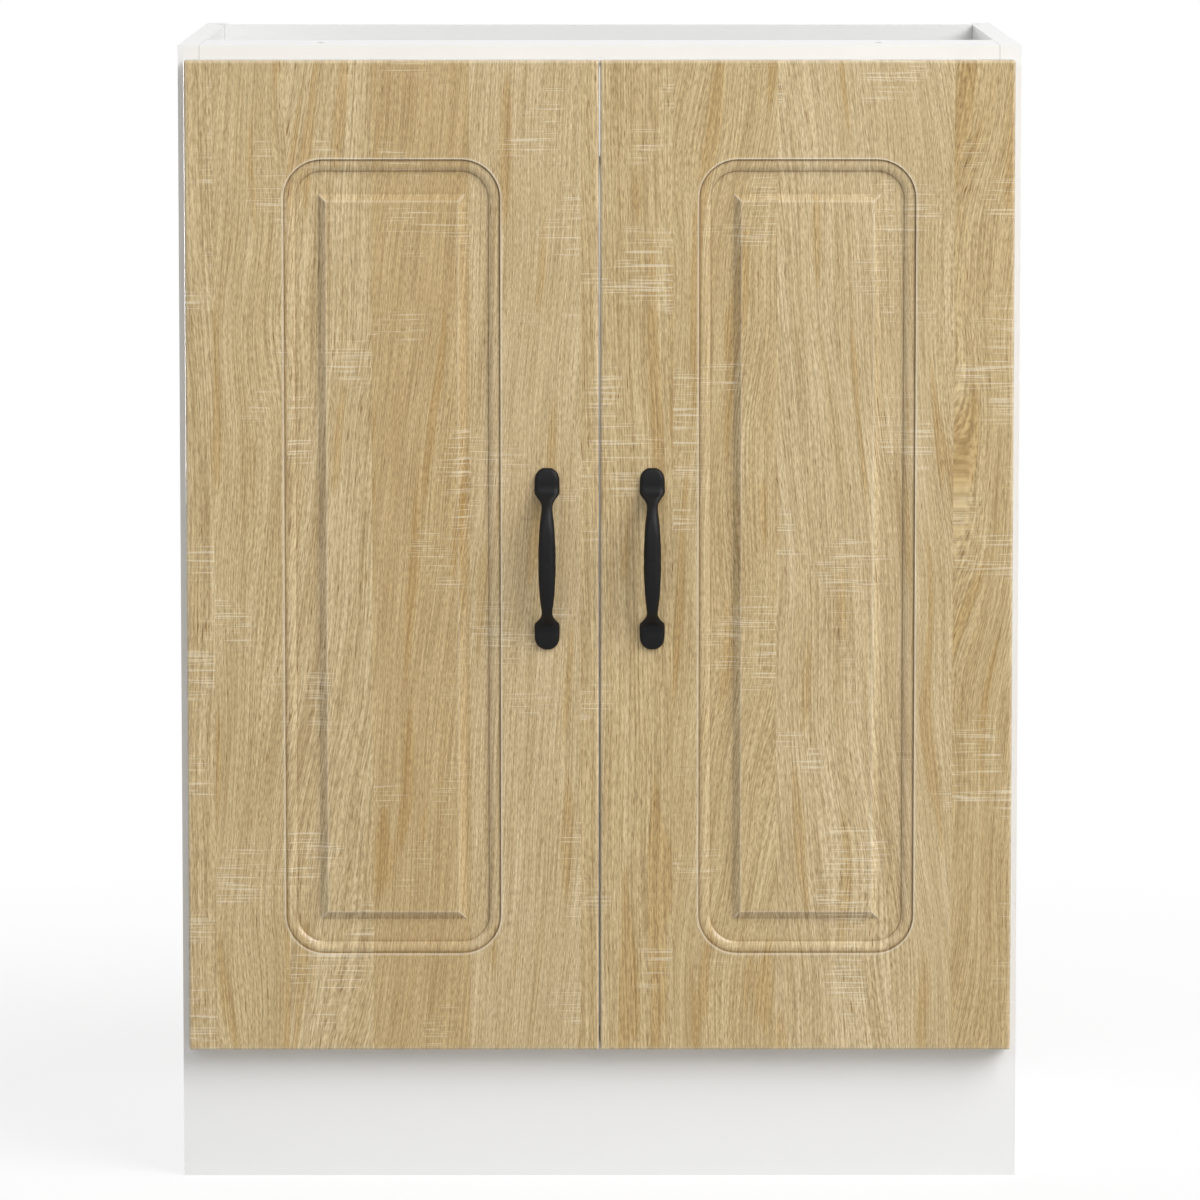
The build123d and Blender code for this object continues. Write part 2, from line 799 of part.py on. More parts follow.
def back_rail(middle_height):
    half = back_rail_height / 2
    span = (middle_height - half, middle_height + half)
    return block((-inner, inner), (rail_front, rail_back), span) - board_cuts - nail_cuts


bottom_panel = block((-inner, inner), (front, rail_back), (plinth_height, floor_top))
plinth = block((-half_width, half_width), (front, front + board), (0, plinth_height))
plinth -= board_cuts + bracket_cuts + opposite(bracket_cuts)


# ---- The cabinet -------------------------------------------------------------------------

boards = {
    "side_panel_left": side_panel(),
    "side_panel_right": opposite(side_panel()),
    "bottom_panel": bottom_panel - board_cuts - nail_cuts,
    "plinth_board": plinth,
    "front_rail": front_rail(),
    "back_rail_upper": back_rail(upper_rail_height),
    "back_rail_lower": back_rail(lower_rail_height),
    "back_panel": back_panel(),
}
for name, piece in boards.items():
    save(name, piece)
save("back_nails", *nails)

# Fittings of the carcass, on both sides
fittings = {
    "cam_locks": cams,
    "cam_bolts": bolts,
    "dowels": dowels,
    "cam_caps": caps,
    "plinth_brackets": [bracket],
    "bracket_screws": bracket_screws,
    "hinge_arms": on_hinges(hinge_arm),
    "arm_pins": on_hinges(arm_pins),
    "arm_screws": on_hinges(arm_screws),
    "mounting_plates": on_hinges(mounting_plate),
    "plate_screws": screws_on_hinges(plate_screw_planes),
}
for name, pieces in fittings.items():
    save(name, *pieces, *[opposite(piece) for piece in pieces])

# What moves with each door
moving = {
    "door": [door()],
    "handle": [handle()],
    "handle_screws": handle_screws(),
    "bumper": [bumper()],
    "hinge_cups": on_hinges(hinge_cup),
    "cup_pins": on_hinges(cup_pins),
    "cup_screws": screws_on_hinges(cup_screw_planes),
    "outer_links": on_hinges(outer_link),
    "inner_links": on_hinges(inner_link),
}
for name, pieces in moving.items():
    save(f"{name}_left", *pieces)
    save(f"{name}_right", *[opposite(piece) for piece in pieces])
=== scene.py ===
import bmesh
import bpy
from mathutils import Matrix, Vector


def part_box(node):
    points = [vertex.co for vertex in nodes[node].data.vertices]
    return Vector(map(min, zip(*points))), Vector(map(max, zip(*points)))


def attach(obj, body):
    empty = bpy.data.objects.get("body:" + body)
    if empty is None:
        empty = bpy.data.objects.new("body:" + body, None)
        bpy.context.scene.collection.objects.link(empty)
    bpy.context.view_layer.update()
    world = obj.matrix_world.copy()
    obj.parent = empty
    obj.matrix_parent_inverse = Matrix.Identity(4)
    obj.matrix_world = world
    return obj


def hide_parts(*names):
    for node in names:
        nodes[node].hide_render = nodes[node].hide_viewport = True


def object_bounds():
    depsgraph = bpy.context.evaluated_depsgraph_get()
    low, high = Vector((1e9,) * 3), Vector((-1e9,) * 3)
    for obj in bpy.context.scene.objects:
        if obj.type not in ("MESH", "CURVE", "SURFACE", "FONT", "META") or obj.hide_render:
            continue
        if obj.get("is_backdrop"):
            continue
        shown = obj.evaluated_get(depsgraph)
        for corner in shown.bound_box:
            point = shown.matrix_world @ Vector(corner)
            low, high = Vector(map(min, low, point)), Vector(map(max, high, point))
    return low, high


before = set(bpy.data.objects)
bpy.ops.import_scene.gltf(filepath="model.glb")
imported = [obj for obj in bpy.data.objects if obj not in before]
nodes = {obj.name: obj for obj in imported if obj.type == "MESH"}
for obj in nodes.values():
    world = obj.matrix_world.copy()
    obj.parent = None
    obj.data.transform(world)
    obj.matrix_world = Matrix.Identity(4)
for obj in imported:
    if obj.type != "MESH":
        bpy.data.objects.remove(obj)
cad_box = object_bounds()

# ---- Carcass boards ------------------------------------------------------------------------
# Side panels, bottom, plinth and rails of particle board faced with white melamine, edged with
# a thin white band where it shows. Edges that face back or down are left bare.

MM = 0.001
X, Y, Z = 0, 1, 2
touching = 0.1 * MM


def linear(hex_colour):
    """An sRGB hex colour as Blender's linear red, green, blue and alpha."""
    parts = [int(hex_colour[i : i + 2], 16) / 255 for i in (1, 3, 5)]
    return [c / 12.92 if c <= 0.04045 else ((c + 0.055) / 1.055) ** 2.4 for c in parts] + [1]


def add(tree, kind, inputs=None, stops=(), **settings):
    """Adds a node. An input is a value or the output that feeds it; stops are a ramp's."""
    node = tree.nodes.new(kind)
    for name, value in settings.items():
        setattr(node, name, value)
    for name, value in (inputs or {}).items():
        if isinstance(value, bpy.types.NodeSocket):
            tree.links.new(value, node.inputs[name])
        else:
            node.inputs[name].default_value = value
    for index, (place, colour) in enumerate(stops):
        elements = node.color_ramp.elements
        element = elements[index] if index < len(elements) else elements.new(place)
        element.position, element.color = place, linear(colour)
    return node


def new_material(name, colour, roughness, metallic=0.0, ior=1.5):
    """A material with its shader, ready for a pattern."""
    material = bpy.data.materials.new(name)
    material.use_nodes = True
    shader = material.node_tree.nodes["Principled BSDF"]
    shader.inputs["Base Color"].default_value = linear(colour)
    shader.inputs["Roughness"].default_value = roughness
    shader.inputs["Metallic"].default_value = metallic
    shader.inputs["IOR"].default_value = ior
    material.diffuse_color = linear(colour)
    return material, material.node_tree, shader


def grain(tree, size, detail=2.0, place=None):
    """Noise whose features have the given size in millimetres along each axis."""
    place = place or add(tree, "ShaderNodeTexCoord").outputs["Object"]
    scale = [1 / (side * MM) for side in size]
    mapping = add(tree, "ShaderNodeMapping", {"Vector": place, "Scale": scale})
    noise = {"Vector": mapping.outputs[0], "Scale": 1.0, "Detail": detail}
    return add(tree, "ShaderNodeTexNoise", noise).outputs["Fac"]


def dress(name, *coats):
    """Gives a CAD node its coats. Each coat after the first lies where its rule says so."""
    mesh = nodes[name].data
    mesh.materials.clear()
    for coat in coats:
        mesh.materials.append(coat if isinstance(coat, bpy.types.Material) else coat[0])
    for face in mesh.polygons:
        face.material_index = 0
        for index, (_, rule) in enumerate(coats[1:], 1):
            if rule(face.center, face.normal):
                face.material_index = index


def bare_edges(name, *sides):
    """The bare edges of a board: (axis, sign) for each side, and every bore inside it."""
    low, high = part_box(name)

    def rule(centre, normal):
        gaps = [(centre[i] - low[i], high[i] - centre[i]) for i in (X, Y, Z)]
        on_side = [(near < touching, far < touching) for near, far in gaps]
        if not any(near or far for near, far in on_side):
            return True
        return any(on_side[axis][sign > 0] and normal[axis] * sign > 0.9 for axis, sign in sides)

    return rule


# Melamine resin pressed against a steel plate: hard, smooth, with a faint orange peel and a
# soft gloss.
melamine_colour, melamine_roughness = "#F1F1F0", 0.36
orange_peel = (1.4, 1.4, 1.4)
white_melamine, tree, shader = new_material(
    "white_melamine", melamine_colour, melamine_roughness
)
relief = {"Height": grain(tree, orange_peel), "Distance": 0.01 * MM, "Strength": 0.3}
relief = add(tree, "ShaderNodeBump", relief).outputs["Normal"]
tree.links.new(relief, shader.inputs["Normal"])

# The same board between the side panels, with a fine grey line of painted shade at each joint.
joined_melamine, tree, shader = new_material(
    "joined_melamine", melamine_colour, melamine_roughness
)
relief = {"Height": grain(tree, orange_peel), "Distance": 0.01 * MM, "Strength": 0.3}
relief = add(tree, "ShaderNodeBump", relief).outputs["Normal"]
tree.links.new(relief, shader.inputs["Normal"])
place = add(tree, "ShaderNodeTexCoord").outputs["Object"]
aside = add(tree, "ShaderNodeSeparateXYZ", {0: place}).outputs["X"]
aside = add(tree, "ShaderNodeMath", {0: aside}, operation="ABSOLUTE").outputs[0]
board_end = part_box("front_rail")[1].x
joint_width = 0.7 * MM
joint_shade = {
    "Value": aside,
    "From Min": board_end - joint_width,
    "From Max": board_end - 0.5 * joint_width,
}
joint_shade = add(tree, "ShaderNodeMapRange", joint_shade).outputs["Result"]
# Painted shade: the grey line stands in for the shadow in the hairline gap at each joint.
joint_shade_tones = [(0.0, melamine_colour), (1.0, "#C9C9C8")]
colours = add(tree, "ShaderNodeValToRGB", {"Fac": joint_shade}, joint_shade_tones)
tree.links.new(colours.outputs["Color"], shader.inputs["Base Color"])

# Bare particle board shows its pressed and glued wood chips, dull and blotchy.
bare_chipboard, tree, shader = new_material("bare_chipboard", "#B89A6E", roughness=0.85)
chips = grain(tree, (2.2, 2.2, 4.0), detail=4.0)
chip_tones = [(0.3, "#8A6A42"), (0.5, "#BB9C70"), (0.7, "#D6BE94")]
colours = add(tree, "ShaderNodeValToRGB", {"Fac": chips}, chip_tones)
tree.links.new(colours.outputs["Color"], shader.inputs["Base Color"])
relief = {"Height": chips, "Distance": 0.3 * MM}
relief = add(tree, "ShaderNodeBump", relief).outputs["Normal"]
tree.links.new(relief, shader.inputs["Normal"])

board_bare_sides = {
    "side_panel_left": [(Y, 1), (Z, -1)],
    "side_panel_right": [(Y, 1), (Z, -1)],
    "bottom_panel": [(Y, 1)],
    "plinth_board": [(Z, -1)],
    "front_rail": [(Y, 1)],
    "back_rail_upper": [(Z, -1)],
    "back_rail_lower": [(Z, -1)],
}
for name, sides in board_bare_sides.items():
    outer = name.startswith("side") or name.startswith("plinth")
    skin = white_melamine if outer else joined_melamine
    dress(name, skin, (bare_chipboard, bare_edges(name, *sides)))

# ---- Back panel ----------------------------------------------------------------------------
# Thin hardboard, lacquered white on the side that shows inside, slid into grooves in the side
# panels and nailed to the bottom and the back rails with flat-headed zinc-plated nails.

# Wet-pressed hardboard: brown and dull, with the woven mark of the press screen on its back.
brown_hardboard, tree, shader = new_material("brown_hardboard", "#8A6A4A", roughness=0.75)
screen_mark = grain(tree, (1.6, 1.6, 1.6), detail=1.0)
fibre_tones = [(0.35, "#7B5C3E"), (0.65, "#967654")]
fibres = grain(tree, (3, 3, 3), detail=4.0)
colours = add(tree, "ShaderNodeValToRGB", {"Fac": fibres}, fibre_tones)
tree.links.new(colours.outputs["Color"], shader.inputs["Base Color"])
relief = {"Height": screen_mark, "Distance": 0.15 * MM, "Strength": 0.6}
relief = add(tree, "ShaderNodeBump", relief).outputs["Normal"]
tree.links.new(relief, shader.inputs["Normal"])

# Curtain-coated lacquer: thin, white and a little duller than the boards' melamine.
white_lacquer, tree, shader = new_material("white_lacquer", "#EFEFEC", roughness=0.45)
relief = {"Height": grain(tree, (2.5, 2.5, 2.5)), "Distance": 0.02 * MM, "Strength": 0.3}
relief = add(tree, "ShaderNodeBump", relief).outputs["Normal"]
tree.links.new(relief, shader.inputs["Normal"])

panel_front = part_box("back_panel")[0].y


def not_front(centre, normal):
    return not (normal.y < -0.9 and centre.y - panel_front < touching)


dress("back_panel", white_lacquer, (brown_hardboard, not_front))

# Zinc plating on steel is bright and a little blue, with a faint cloudy bloom.
zinc_plating, tree, shader = new_material("zinc_plating", "#B9BCC0", roughness=0.3, metallic=1.0)
brightest, cloudiest = 0.24, 0.42
bloom = {"Value": grain(tree, (6, 6, 6)), "To Min": brightest, "To Max": cloudiest}
bloom = add(tree, "ShaderNodeMapRange", bloom).outputs["Result"]
tree.links.new(bloom, shader.inputs["Roughness"])
dress("back_nails", zinc_plating)

# ---- Cam fittings, caps and dowels ---------------------------------------------------------
# Each cam is die-cast zinc and turns on the head of a zinc-plated steel bolt. White caps hide
# the cams of the back rails. The dowels are turned and fluted beech.

# Die-cast zinc keeps the grey, faintly pebbled skin of its mould.
cast_zinc, tree, shader = new_material("cast_zinc", "#9A9C9E", roughness=0.45, metallic=1.0)
relief = {"Height": grain(tree, (0.6, 0.6, 0.6)), "Distance": 0.02 * MM}
relief = add(tree, "ShaderNodeBump", relief).outputs["Normal"]
tree.links.new(relief, shader.inputs["Normal"])

# Moulded polystyrene: white with a satin skin.
white_cap_plastic, tree, shader = new_material(
    "white_cap_plastic", "#EDEDEA", roughness=0.4, ior=1.59
)
relief = {"Height": grain(tree, (0.8, 0.8, 0.8)), "Distance": 0.01 * MM, "Strength": 0.4}
relief = add(tree, "ShaderNodeBump", relief).outputs["Normal"]
tree.links.new(relief, shader.inputs["Normal"])

# Beech is pinkish and close-grained, with short darker rays along the dowel.
beech, tree, shader = new_material("beech", "#CDA97C", roughness=0.6)
rays = grain(tree, (9.0, 0.8, 0.8))
ray_tones = [(0.35, "#B98F60"), (0.65, "#D9BA90")]
colours = add(tree, "ShaderNodeValToRGB", {"Fac": rays}, ray_tones)
tree.links.new(colours.outputs["Color"], shader.inputs["Base Color"])

dress("cam_locks", cast_zinc)
dress("cam_bolts", zinc_plating)
dress("cam_caps", white_cap_plastic)
dress("dowels", beech)

# ---- Plinth brackets -----------------------------------------------------------------------
# Bent zinc-plated steel angles in the corners behind the plinth. Each holds the plinth to a
# side panel with four screws.

dress("plinth_brackets", zinc_plating)

# ---- Hinges --------------------------------------------------------------------------------
# Concealed hinges of pressed steel with a bright nickel plating. The cup sits in the door, and
# the arm is clamped to a mounting plate on the side panel.

# Nickel is warmer than zinc and brighter, over the faint drawing lines of the pressed steel.
nickel_plating, tree, shader = new_material(
    "nickel_plating", "#C9C5BD", roughness=0.22, metallic=1.0
)
relief = {"Height": grain(tree, (6.0, 6.0, 0.5)), "Distance": 0.004 * MM}
relief = add(tree, "ShaderNodeBump", relief).outputs["Normal"]
tree.links.new(relief, shader.inputs["Normal"])
for name in ("hinge_arms", "arm_pins", "arm_screws", "mounting_plates"):
    dress(name, nickel_plating)
for side in ("left", "right"):
    for name in ("hinge_cups", "cup_pins", "outer_links", "inner_links"):
        dress(f"{name}_{side}", nickel_plating)

# ---- Screws --------------------------------------------------------------------------------
# Zinc-plated screws with a domed head and a cross recess. Wood screws hold the brackets and the
# hinges, machine screws hold the handles, and every head faces the inside of the cabinet.

tree = bpy.data.node_groups.new("cross_head_screw", "GeometryNodeTree")
tree.interface.new_socket("Places", in_out="INPUT", socket_type="NodeSocketGeometry")
screw_inputs = ("Head Radius", "Head Height", "Shank Radius", "Shank Length", "Recess Width")
for name in screw_inputs:
    tree.interface.new_socket(name, in_out="INPUT", socket_type="NodeSocketFloat")
tree.interface.new_socket("Metal", in_out="INPUT", socket_type="NodeSocketMaterial")
tree.interface.new_socket("Screws", in_out="OUTPUT", socket_type="NodeSocketGeometry")
given = add(tree, "NodeGroupInput").outputs

# The head is a cylinder, one high and one in radius, that is drawn in to a dome and scaled. The
# dome is a half ellipse that stops just short of its tip, so that it ends in a small flat.
short_of_tip = 0.93
cylinder = {"Vertices": 32, "Side Segments": 8, "Radius": 1.0, "Depth": 1.0}
head = add(tree, "GeometryNodeMeshCylinder", cylinder).outputs["Mesh"]
lift = {"Geometry": head, "Translation": (0, 0, 0.5)}
head = add(tree, "GeometryNodeTransform", lift).outputs[0]
place = add(tree, "GeometryNodeInputPosition").outputs[0]
rise = add(tree, "ShaderNodeSeparateXYZ", {0: place}).outputs["Z"]
square = add(tree, "ShaderNodeMath", {0: rise, 1: 2.0}, operation="POWER").outputs[0]
dome = {0: square, 1: -short_of_tip, 2: 1.0}
dome = add(tree, "ShaderNodeMath", dome, operation="MULTIPLY_ADD").outputs[0]
dome = add(tree, "ShaderNodeMath", {0: dome, 1: 0.5}, operation="POWER").outputs[0]
radius = {0: dome, 1: given["Head Radius"]}
radius = add(tree, "ShaderNodeMath", radius, operation="MULTIPLY").outputs[0]
size = {"X": radius, "Y": radius, "Z": given["Head Height"]}
size = add(tree, "ShaderNodeCombineXYZ", size).outputs[0]
place = add(tree, "ShaderNodeVectorMath", {0: place, 1: size}, operation="MULTIPLY").outputs[0]
head = add(tree, "GeometryNodeSetPosition", {"Geometry": head, "Position": place}).outputs[0]

# Two crossed blocks, centred on the top of the head, cut the recess.
recess_to_radius = 1.1
recess_to_height = 0.75
length = {0: given["Head Radius"], 1: recess_to_radius}
length = add(tree, "ShaderNodeMath", length, operation="MULTIPLY").outputs[0]
depth = {0: given["Head Height"], 1: 2 * recess_to_height}
depth = add(tree, "ShaderNodeMath", depth, operation="MULTIPLY").outputs[0]
width = given["Recess Width"]
top = add(tree, "ShaderNodeCombineXYZ", {"Z": given["Head Height"]}).outputs[0]
cut = {"Mesh 1": head}
cut = add(tree, "GeometryNodeMeshBoolean", cut, operation="DIFFERENCE", solver="EXACT")
for x, y in ((length, width), (width, length)):
    block = add(tree, "ShaderNodeCombineXYZ", {"X": x, "Y": y, "Z": depth}).outputs[0]
    block = add(tree, "GeometryNodeMeshCube", {"Size": block}).outputs["Mesh"]
    block = {"Geometry": block, "Translation": top}
    block = add(tree, "GeometryNodeTransform", block).outputs[0]
    tree.links.new(block, cut.inputs["Mesh 2"])

# The shank ends in a point as long as the shank is wide.
shank_sides = 16
tip_radius = 0.3 * MM
point = {0: given["Shank Radius"], 1: 2.0}
point = add(tree, "ShaderNodeMath", point, operation="MULTIPLY").outputs[0]
lowest = {0: given["Shank Length"], 1: -1.0}
lowest = add(tree, "ShaderNodeMath", lowest, operation="MULTIPLY").outputs[0]
lowest = add(tree, "ShaderNodeCombineXYZ", {"Z": lowest}).outputs[0]
cone = {"Vertices": shank_sides, "Radius Bottom": tip_radius, "Depth": point}
cone["Radius Top"] = given["Shank Radius"]
tip = add(tree, "GeometryNodeMeshCone", cone).outputs["Mesh"]
tip = add(tree, "GeometryNodeTransform", {"Geometry": tip, "Translation": lowest}).outputs[0]
shaft = {0: given["Shank Length"], 1: point}
shaft = add(tree, "ShaderNodeMath", shaft, operation="SUBTRACT").outputs[0]
cylinder = {"Vertices": shank_sides, "Radius": given["Shank Radius"], "Depth": shaft}
shank = add(tree, "GeometryNodeMeshCylinder", cylinder).outputs["Mesh"]
middle = add(tree, "ShaderNodeMath", {0: shaft, 1: -0.5}, operation="MULTIPLY").outputs[0]
middle = add(tree, "ShaderNodeCombineXYZ", {"Z": middle}).outputs[0]
shank = {"Geometry": shank, "Translation": middle}
shank = add(tree, "GeometryNodeTransform", shank).outputs[0]
screw = add(tree, "GeometryNodeJoinGeometry")
for piece in (cut.outputs[0], shank, tip):
    tree.links.new(piece, screw.inputs[0])

# Each screw stands along its own axis and was driven home to its own angle.
quarter_turn = 1.57
axis = {"Name": "axis"}
axis = add(tree, "GeometryNodeInputNamedAttribute", axis, data_type="FLOAT_VECTOR").outputs[0]
aimed = add(tree, "FunctionNodeAlignRotationToVector", {"Vector": axis}, axis="Z").outputs[0]
angle = {"Min": 0.0, "Max": quarter_turn, "Seed": 5}
angle = add(tree, "FunctionNodeRandomValue", angle, data_type="FLOAT").outputs["Value"]
angle = add(tree, "ShaderNodeCombineXYZ", {"Z": angle}).outputs[0]
angle = add(tree, "FunctionNodeEulerToRotation", {0: angle}).outputs[0]
stance = {"Rotation": aimed, "Rotate By": angle}
stance = add(tree, "FunctionNodeRotateRotation", stance, rotation_space="LOCAL").outputs[0]
screws = {"Points": given["Places"], "Instance": screw.outputs[0], "Rotation": stance}
screws = add(tree, "GeometryNodeInstanceOnPoints", screws).outputs[0]
screws = add(tree, "GeometryNodeRealizeInstances", {0: screws}).outputs[0]
screws = {"Geometry": screws, "Material": given["Metal"]}
screws = add(tree, "GeometryNodeSetMaterial", screws).outputs[0]
add(tree, "NodeGroupOutput", {0: screws})


def solid_boxes(mesh):
    """The lowest and highest corner of each separate solid in a CAD mesh, axis by axis."""
    solids = bmesh.new()
    solids.from_mesh(mesh)
    bmesh.ops.remove_doubles(solids, verts=solids.verts, dist=0.001 * MM)
    seen, boxes = set(), []
    for start in solids.verts:
        if start in seen:
            continue
        seen.add(start)
        solid = [start]
        for vert in solid:
            near = [v for link in vert.link_edges for v in link.verts if v not in seen]
            seen.update(near)
            solid.extend(near)
        spans = [[vert.co[i] for vert in solid] for i in (X, Y, Z)]
        boxes.append([(min(span), max(span)) for span in spans])
    solids.free()
    return boxes


# Sizes in millimetres.
wood_screw = {
    "Head Radius": 3.4,
    "Head Height": 2.0,
    "Shank Radius": 1.7,
    "Shank Length": 12.0,
    "Recess Width": 0.9,
}
machine_screw = {
    "Head Radius": 4.0,
    "Head Height": 2.0,
    "Shank Radius": 2.0,
    "Shank Length": 21.8,
    "Recess Width": 0.9,
}
screw_nodes = {"bracket_screws": ("carcass", wood_screw), "plate_screws": ("carcass", wood_screw)}
for side in ("left", "right"):
    screw_nodes[f"cup_screws_{side}"] = (f"{side}_door", wood_screw)
    screw_nodes[f"handle_screws_{side}"] = (f"{side}_door", machine_screw)
for name, (body, sizes) in screw_nodes.items():
    # A screw's place is the seat of its head, on its long axis and towards the inside.
    places, axes = [], []
    for spans in solid_boxes(nodes[name].data):
        lengths = [high - low for low, high in spans]
        along = lengths.index(max(lengths))
        place = Vector([(low + high) / 2 for low, high in spans])
        inward = -1 if along == X and place.x > 0 else 1
        place[along] = spans[along][inward > 0] - inward * sizes["Head Height"] * MM
        places.append(place)
        axes += [inward if i == along else 0 for i in (X, Y, Z)]
    points = bpy.data.meshes.new(f"{name}_places")
    points.from_pydata(places, [], [])
    points.attributes.new("axis", "FLOAT_VECTOR", "POINT").data.foreach_set("vector", axes)
    maker = bpy.data.objects.new(f"{name}_places", points)
    bpy.context.scene.collection.objects.link(maker)
    modifier = maker.modifiers.new("screws", "NODES")
    modifier.node_group = tree
    values = {key: size * MM for key, size in sizes.items()}
    values["Metal"] = zinc_plating
    for socket in tree.interface.items_tree:
        if socket.name in values:
            modifier[socket.identifier] = values[socket.name]
    evaluated = maker.evaluated_get(bpy.context.evaluated_depsgraph_get())
    mesh = bpy.data.meshes.new_from_object(evaluated)
    # The cut leaves an empty slot before the metal's.
    mesh.materials.pop(index=0)
    bpy.data.objects.remove(maker)
    screws = bpy.data.objects.new(f"{name}_crossed", mesh)
    bpy.context.scene.collection.objects.link(screws)
    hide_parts(name)
    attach(screws, body)

# ---- Doors ---------------------------------------------------------------------------------
# Fibreboard with a routed pattern, wrapped on the face and edges in a satin foil printed with
# light oak: upright planks joined side by side, each with its own slant, tone and figure.

# The foil is matt to satin, and lightly embossed along its printed fibres.
satin, drawn_gloss = 0.38, 0.16
oak_foil, tree, shader = new_material("oak_foil", "#BEA77D", satin)
surface = add(tree, "ShaderNodeTexCoord").outputs
place = add(tree, "ShaderNodeSeparateXYZ", {0: surface["Object"]}).outputs
facing = add(tree, "ShaderNodeSeparateXYZ", {0: surface["Normal"]}).outputs
# The print is laid out on width and height, and on the side edges it runs on into the depth.
sideways = add(tree, "ShaderNodeMath", {0: facing["X"]}, operation="ABSOLUTE").outputs[0]
sideways = {0: sideways, 1: 0.9}
sideways = add(tree, "ShaderNodeMath", sideways, operation="GREATER_THAN").outputs[0]
across = {0: place["Y"], 1: sideways, 2: place["X"]}
across = add(tree, "ShaderNodeMath", across, operation="MULTIPLY_ADD").outputs[0]
up = place["Z"]
plank_width = 66 * MM
plank = {"W": across, "Scale": 1 / plank_width, "Randomness": 0.8}
plank = add(tree, "ShaderNodeTexVoronoi", plank, voronoi_dimensions="1D").outputs["Color"]
plank = add(tree, "ShaderNodeSeparateXYZ", {0: plank}).outputs
slant_dice, cut_dice, tone_dice = plank["X"], plank["Y"], plank["Z"]

# The grain leans by up to one in ten either way, and in a few planks it bends round old knots.
# Each plank is cut from its own depth, up to three metres, in patterns that are a metre deep.
lean_range = 0.2
calm_bend, most_bend = 0.02, 0.16
bend_rarity = 3.0
deepest_cut = 3.0
pattern_depth = 1000
lean = add(tree, "ShaderNodeMath", {0: slant_dice, 1: 0.5}, operation="SUBTRACT").outputs[0]
lean = add(tree, "ShaderNodeMath", {0: lean, 1: lean_range}, operation="MULTIPLY").outputs[0]
leaning = {0: up, 1: lean, 2: across}
leaning = add(tree, "ShaderNodeMath", leaning, operation="MULTIPLY_ADD").outputs[0]
plank_depth = {0: cut_dice, 1: deepest_cut}
plank_depth = add(tree, "ShaderNodeMath", plank_depth, operation="MULTIPLY").outputs[0]
in_plank = {"X": leaning, "Y": plank_depth, "Z": up}
in_plank = add(tree, "ShaderNodeCombineXYZ", in_plank).outputs[0]
figure = {0: cut_dice, 1: bend_rarity}
figure = add(tree, "ShaderNodeMath", figure, operation="POWER").outputs[0]
figure = {0: figure, 1: most_bend, 2: calm_bend}
figure = add(tree, "ShaderNodeMath", figure, operation="MULTIPLY_ADD").outputs[0]
knots = grain(tree, (80, pattern_depth, 260), detail=1.0, place=in_plank)
bend = {0: knots, 1: figure, 2: leaning}
bend = add(tree, "ShaderNodeMath", bend, operation="MULTIPLY_ADD").outputs[0]
along_grain = {"X": bend, "Y": plank_depth, "Z": up}
along_grain = add(tree, "ShaderNodeCombineXYZ", along_grain).outputs[0]

# Tone: a step from plank to plank, golden heartwood in pointed patches, broad bands, long fine
# lines, short fibres and dark pores. The finest are drawn half as wide again as real ones, so
# that they show.
plank_tones = [(0.0, "#DAC191"), (0.5, "#E0CA9D"), (1.0, "#E5D1A9")]
oak = add(tree, "ShaderNodeValToRGB", {"Fac": tone_dice}, plank_tones).outputs["Color"]
heartwood = grain(tree, (16, pattern_depth, 190), detail=1.0, place=along_grain)
bands = grain(tree, (7, pattern_depth, 150), detail=3.0, place=along_grain)
fine_lines = grain(tree, (0.8, pattern_depth, 90), detail=2.0, place=along_grain)
fibres = grain(tree, (0.6, pattern_depth, 4.5), detail=2.0, place=along_grain)
pores = grain(tree, (0.9, pattern_depth, 15), detail=1.0, place=along_grain)
layers = [
    (heartwood, [(0.61, "#FFFFFF"), (0.65, "#F3EBDA")]),
    (bands, [(0.32, "#F0EBE1"), (0.68, "#FFFFFF")]),
    (fine_lines, [(0.34, "#D6CFC1"), (0.62, "#FFFFFF")]),
    (fibres, [(0.30, "#CDC6B9"), (0.62, "#FFFFFF")]),
    (pores, [(0.24, "#BFAB88"), (0.33, "#FFFFFF")]),
]
darken = {"data_type": "RGBA", "blend_type": "MULTIPLY"}
for pattern, tones in layers:
    tone = add(tree, "ShaderNodeValToRGB", {"Fac": pattern}, tones).outputs["Color"]
    both = {"Factor": 1.0, "A": oak, "B": tone}
    oak = add(tree, "ShaderNodeMix", both, **darken).outputs["Result"]

# Pale marks of the saw run across the grain, in patches that end at the plank's edges.
cover = {"data_type": "RGBA", "blend_type": "MIX"}
saw_strength = 0.42
saw_lines = grain(tree, (40, pattern_depth, 1.1), detail=1.0, place=in_plank)
saw_patches = grain(tree, (55, pattern_depth, 60), detail=1.0, place=in_plank)
line_tones = [(0.56, "#000000"), (0.66, "#FFFFFF")]
patch_tones = [(0.55, "#000000"), (0.64, "#FFFFFF")]
lines = add(tree, "ShaderNodeValToRGB", {"Fac": saw_lines}, line_tones).outputs["Color"]
patches = add(tree, "ShaderNodeValToRGB", {"Fac": saw_patches}, patch_tones).outputs["Color"]
saw = add(tree, "ShaderNodeMath", {0: lines, 1: patches}, operation="MULTIPLY").outputs[0]
saw = add(tree, "ShaderNodeMath", {0: saw, 1: saw_strength}, operation="MULTIPLY").outputs[0]
both = {"Factor": saw, "A": oak, "B": linear("#F0E6CC")}
oak = add(tree, "ShaderNodeMix", both, **cover).outputs["Result"]
